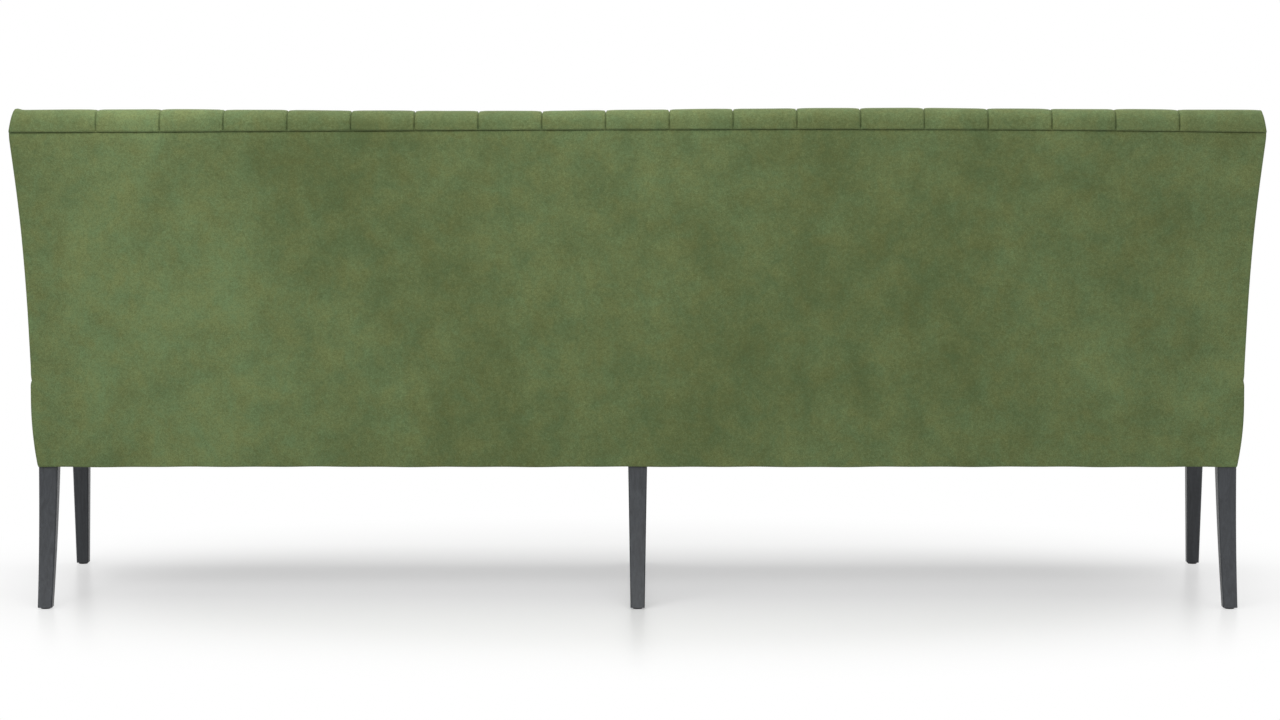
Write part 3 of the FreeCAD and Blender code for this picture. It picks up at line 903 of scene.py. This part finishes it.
cover_finish, cover_tree, cover_shader = finish("green_cover", roughness=0.85, specular=0.2)
clouds = noise(cover_tree, (1.6, 1, 0.8), scale=1.4, detail=3, roughness=0.6, distortion=0.3)
patches = noise(cover_tree, (1.08, 1, 0.93), scale=11, detail=6, roughness=0.72, distortion=0.25)
flecks = noise(cover_tree, (0.9, 1, 1.05), scale=210, detail=4, roughness=0.75)
grain = noise(cover_tree, (0.95, 1, 1.05), scale=560, detail=2, roughness=0.7)
coarse_nap = blend(cover_tree, clouds, patches, patch_share)
fine_nap = blend(cover_tree, flecks, grain, grain_share)
nap = blend(cover_tree, coarse_nap, fine_nap, fine_share)
nap_colour = colours(cover_tree, nap, [(0.425, green_dark), (0.506, green_mean), (0.605, green_light)])
print("nap:", len(cover_tree.nodes), "nodes")

# %% [markdown]
# The dye has taken unevenly: the green leans towards brown here and towards blue there. More stops in the
# ramp would tie the hue to the brightness, so a second noise multiplies the colour. Sheen lifts the nap at
# grazing angles, and pores roughen it.

# %% Dye, sheen and pores of the green cover
cool_tint = (0.92, 1.0, 1.05)
warm_tint = (1.08, 1.0, 0.94)
mix_factor, mix_first, mix_second, mix_result = 0, 6, 7, 2
sheen = {"Sheen Weight": 0.16, "Sheen Roughness": 0.35, "Sheen Tint": (0.75, 0.9, 0.55, 1)}

hue = noise(cover_tree, (1.05, 1, 0.95), scale=22, detail=7, roughness=0.78, distortion=0.3)
tint = colours(cover_tree, hue, [(0.38, cool_tint), (0.62, warm_tint)])
dye = {mix_factor: 1.0, mix_first: nap_colour, mix_second: tint}
dyed = add(cover_tree, "Mix", dye, mix_result, data_type="RGBA", blend_type="MULTIPLY")
plug(cover_tree, cover_shader, sheen)
pores = noise(cover_tree, (0.7, 1, 1.2), scale=700, detail=4, roughness=0.75)
surface(cover_tree, cover_shader, dyed, pores, strength=0.5, distance=0.0007)
print("whole green cover:", len(cover_tree.nodes), "nodes")

# %% [markdown]
# ### Wood
# The legs are stained almost black, with a grain that runs along the leg. The hidden frame is plain beech.
# A wave texture makes rings like a cartoon plank. Noise that is stretched along the grain, once coarse and
# once fine, looks more like fibres. Each direction of the grain is a finish of its own.

# %% Wood finishes
along_grain = 1.2
across_grain = 14
fibre_pace = 6
fibre_share = 0.45


def wood(name, axis, dark, light, roughness, specular):
    """Wood whose grain runs along an axis."""
    material, tree, shader = finish(name, roughness, specular)
    stretch = [across_grain] * 3
    stretch[axis] = along_grain
    rings = noise(tree, stretch, scale=9, detail=6, roughness=0.6, distortion=1.2)
    fibres = noise(tree, [fibre_pace * value for value in stretch], scale=22, detail=4, roughness=0.7)
    value = blend(tree, rings, fibres, fibre_share)
    colour = colours(tree, value, [(0.36, dark), (0.64, light)])
    surface(tree, shader, colour, fibres, strength=0.25, distance=0.0006)
    return material


stain = ((0.008, 0.010, 0.013), (0.040, 0.045, 0.052))
beech = ((0.40, 0.25, 0.135), (0.60, 0.42, 0.25))
stained_wood = wood("stained_wood", 2, *stain, roughness=0.46, specular=0.5)
beech_x, beech_y, beech_z = (
    wood("beech_along_" + "xyz"[axis], axis, *beech, roughness=0.62, specular=0.35) for axis in range(3)
)

# %% [markdown]
# ### Layers under the cover
# Webbing, felt, hardboard and card are seen when the bench is opened. The webbing is a plain weave: two
# crossing sets of ribs. Threads modelled one by one would cost millions of faces, so wave textures draw
# them.

# %% Webbing
webbing_dark = (0.02, 0.02, 0.022)
webbing_light = (0.09, 0.085, 0.08)
fuzz_share = 0.35

webbing_weave, webbing_tree, webbing_shader = finish("webbing_weave", roughness=0.85, specular=0.2)
webbing_place = add(webbing_tree, "TexCoord", {}, "Object")
rib = {"Vector": webbing_place, "Scale": 220, "Distortion": 0.6}
warp, weft = (add(webbing_tree, "TexWave", rib, "Fac", bands_direction=axis) for axis in "XZ")
weave = blend(webbing_tree, warp, weft, 0.5)
fuzz = noise(webbing_tree, (1, 1, 1), scale=160, detail=3)
threads = blend(webbing_tree, weave, fuzz, fuzz_share)
thread_colour = colours(webbing_tree, threads, [(0.3, webbing_dark), (0.7, webbing_light)])
surface(webbing_tree, webbing_shader, thread_colour, weave, strength=0.5, distance=0.0006)
print("webbing:", len(webbing_tree.nodes), "nodes")

# %% [markdown]
# Felt, board, card, dust cloth and moulded plastic have no weave: each is one mass of fibres or grains.
# Each could have its own tree, but they differ only in colour, scale, gloss and depth. So one function
# makes them all.

# %% Pressed and moulded layers
lump_ratio = 14
lump_share = 0.45


def pressed(name, dark, light, scale, roughness, depth):
    """A layer without a weave: fibres pressed together, as noise at two sizes."""
    material, tree, shader = finish(name, roughness, specular=0.25)
    fibres = noise(tree, (1, 1, 1), scale, detail=5, roughness=0.7, distortion=0.5)
    lumps = noise(tree, (1, 1, 1), scale / lump_ratio, detail=4)
    value = blend(tree, fibres, lumps, lump_share)
    colour = colours(tree, value, [(0.36, dark), (0.66, light)])
    surface(tree, shader, colour, fibres, strength=0.4, distance=depth)
    return material


felt = pressed("felt_fibres", (0.16, 0.155, 0.15), (0.34, 0.33, 0.32), 240, 0.95, 0.001)
hardboard = pressed("hardboard", (0.16, 0.085, 0.04), (0.30, 0.175, 0.09), 320, 0.7, 0.0002)
tack_card = pressed("tack_card", (0.30, 0.27, 0.22), (0.46, 0.42, 0.35), 380, 0.9, 0.0002)
dust_finish = pressed("dust_cloth", (0.008, 0.008, 0.009), (0.03, 0.03, 0.032), 420, 0.9, 0.0004)
glide_plastic = pressed("glide_plastic", (0.018, 0.018, 0.019), (0.04, 0.04, 0.042), 600, 0.45, 0.0001)

# %% [markdown]
# ## Dress the pieces
# Each new piece rides on the frame's one body, stands for the plain solids that it covers and takes its
# finish. The solids could be deleted, but they still carry the collisions, so they are only hidden.


# %% Sewn pieces on the frame
def dress(piece, material, slot_name, *nodes):
    """Gives a piece its finish and body, and hides the solids that it stands for."""
    piece.data.materials.append(material)
    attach(piece, "root")
    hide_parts(*nodes)
    print(piece.name, "stands for", ", ".join(nodes))


dress(outside_panel, cover_finish, "green_cover", "rear_cover")
dress(back_pad, cover_finish, "green_cover", "back_cover", "back_foam")
for side, piece in side_panels.items():
    dress(piece, cover_finish, "green_cover", "back_side_cover_" + side, "back_side_wadding_" + side)
dress(border_band, cover_finish, "green_cover", "seat_wadding")
dress(seat_pad, cover_finish, "green_cover", "seat_cover", "seat_foam")
dress(dust_cloth, dust_finish, "dust_cloth", "dust_cover")

# %% [markdown]
# A simulator has to know what is soft. It could guess from the shapes, but a taut sheet looks like a board.
# The soft pieces are two pads and five sheets.

# %% Pads and sheets
print("soft pieces: 2 pads and 5 sheets")

# %% [markdown]
# The nodes that keep their own shape only get a finish. Naming each of them would make a long list. Their
# names start with what they are, so a short table of beginnings is enough.

# %% Finishes for the frame's own nodes
node_finishes = {
    stained_wood: ("front_leg", "rear_leg"),
    glide_plastic: ("leg_glides",),
    beech_x: ("front_rail", "rear_rail", "top_rail", "lower_back_rail"),
    beech_y: ("side_rail", "centre_rail", "cross_rail"),
    beech_z: ("corner_block", "centre_block", "back_stay"),
    webbing_weave: ("back_webbing", "seat_webbing"),
    hardboard: ("backing_board",),
    tack_card: ("tack_strip",),
    felt: ("spring_felt",),
}
finished = 0
for name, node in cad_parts.items():
    for material, beginnings in node_finishes.items():
        if name.startswith(beginnings):
            node.data.materials.clear()
            node.data.materials.append(material)
            finished += 1
print(finished, "nodes keep their shape and have a finish")

# %% [markdown]
# ## Floor
# The bench stands on a pale floor that fades into white, and keeps only its shadow. Lamps strong enough to
# burn the floor out would wash out the cover too. So away from the bench the floor is plain white for the
# rays that show the studio.


# %% Rays that show the studio
def studio_rays(tree):
    """1 for rays from the camera, from a gloss or through glass, and 0 for rays that only carry light."""
    shown = add(tree, "LightPath", {}, "Is Camera Ray")
    rays = shown.node.outputs
    for kind in ("Is Glossy Ray", "Is Transmission Ray"):
        shown = add(tree, "Math", {0: shown, 1: rays[kind]}, operation="MAXIMUM")
    return shown


def show_mix(tree, share, lit, plain):
    """Sends a mix of two shaders to a tree's output, with a share of the plain one."""
    end = next(node for node in tree.nodes if node.type.startswith("OUTPUT"))
    plug(tree, end, {"Surface": add(tree, "MixShader", {"Fac": share, 1: lit, 2: plain})})


floor_half = 60
floor_mesh = bpy.data.meshes.new("floor")
floor_corners = [(x * floor_half, y * floor_half, 0) for x, y in ((-1, -1), (1, -1), (1, 1), (-1, 1))]
floor_mesh.from_pydata(floor_corners, [], [(0, 1, 2, 3)])
floor = put("floor", floor_mesh)
print("floor of", 2 * floor_half, "m")

# %% [markdown]
# The share of white grows with the distance from the bench, in an oval that is longer along it. A gradient
# texture could draw this too, but Map Range names the two distances between which the floor fades.

# %% Floor that fades to white
floor_oval = (2.0, 1.15)
floor_fade = {"From Min": 0.42, "From Max": 0.85, "To Min": 0.32, "To Max": 1.0}
floor_finish, floor_tree, floor_shader = finish("studio_floor", roughness=0.3, specular=0.5)
plug(floor_tree, floor_shader, {"Base Color": (0.86, 0.86, 0.86, 1)})
place = add(floor_tree, "TexCoord", {}, "Object")
shrink = (1 / floor_oval[0], 1 / floor_oval[1], 1)
place = add(floor_tree, "Mapping", {"Vector": place, "Scale": shrink})
distance = add(floor_tree, "VectorMath", {0: place}, "Value", operation="LENGTH")
far = add(floor_tree, "MapRange", {"Value": distance, **floor_fade}, interpolation_type="SMOOTHSTEP")
share = add(floor_tree, "Math", {0: far, 1: studio_rays(floor_tree)}, operation="MULTIPLY")
show_mix(floor_tree, share, floor_shader.outputs["BSDF"], add(floor_tree, "Emission", {}))
floor_mesh.materials.append(floor_finish)
print("floor finish:", len(floor_tree.nodes), "nodes")

# %% [markdown]
# ## World
# The studio round the bench is white as well, but as a lamp it is kept low, so that a colour renders about
# as it is written. One background can't be both, so two are mixed by the same rays as on the floor.

# %% World
daylight = 0.46
white = (1, 1, 1, 1)
world = bpy.data.worlds.new("studio")
bpy.context.scene.world = world
world.use_nodes = True
world_tree = world.node_tree
sky = world_tree.nodes["Background"]
plug(world_tree, sky, {"Color": white, "Strength": daylight})
backdrop = add(world_tree, "Background", {"Color": white, "Strength": 1.0})
show_mix(world_tree, studio_rays(world_tree), sky.outputs["Background"], backdrop)
print("world lights the bench at", daylight)

# %% [markdown]
# ## Lights
# Catalogue pictures are lit by wide, soft lamps. A sun would draw hard shadows of the legs. Two area lamps
# are enough: a large one overhead, and a weak one behind the bench, for the top of the outside back.


# %% Lights
def soft_light(name, place, target, size, power):
    """A wide lamp at a place that looks at a target."""
    light = bpy.data.lights.new(name, "AREA")
    light.shape = "RECTANGLE"
    light.size, light.size_y = size
    light.energy = power
    lamp = put(name, light)
    lamp.location = place
    lamp.rotation_euler = (Vector(target) - Vector(place)).to_track_quat("-Z", "Y").to_euler()
    print("lamp:", name, "with", power, "watts")


soft_light("overhead", place=(0, -0.1, 3.6), target=(0, 0, 0), size=(5, 2.5), power=100)
soft_light("rear_fill", place=(0.45, 1.9, 1.9), target=(0, 0.3, 0.75), size=(3.2, 0.6), power=34)

# %% [markdown]
# ## Camera
# The photograph was taken from behind, a little above the top of the bench. A short lens close by would
# spread the near legs apart. The feet in the picture give the distance, about seven metres, and the width
# of the bench gives the lens.

# %% Camera
camera_place = (-0.0045, 7.036, 1.226)
camera_tilt = math.radians(6.308)
camera_data = bpy.data.cameras.new("camera")
camera_data.sensor_width = 36
camera_data.lens = 102.66
camera = put("camera", camera_data)
camera.location = camera_place
camera.rotation_euler = (math.pi / 2 - camera_tilt, 0, math.pi)
bpy.context.scene.camera = camera
bpy.context.scene.view_settings.view_transform = "Standard"
print("camera at", camera_place)
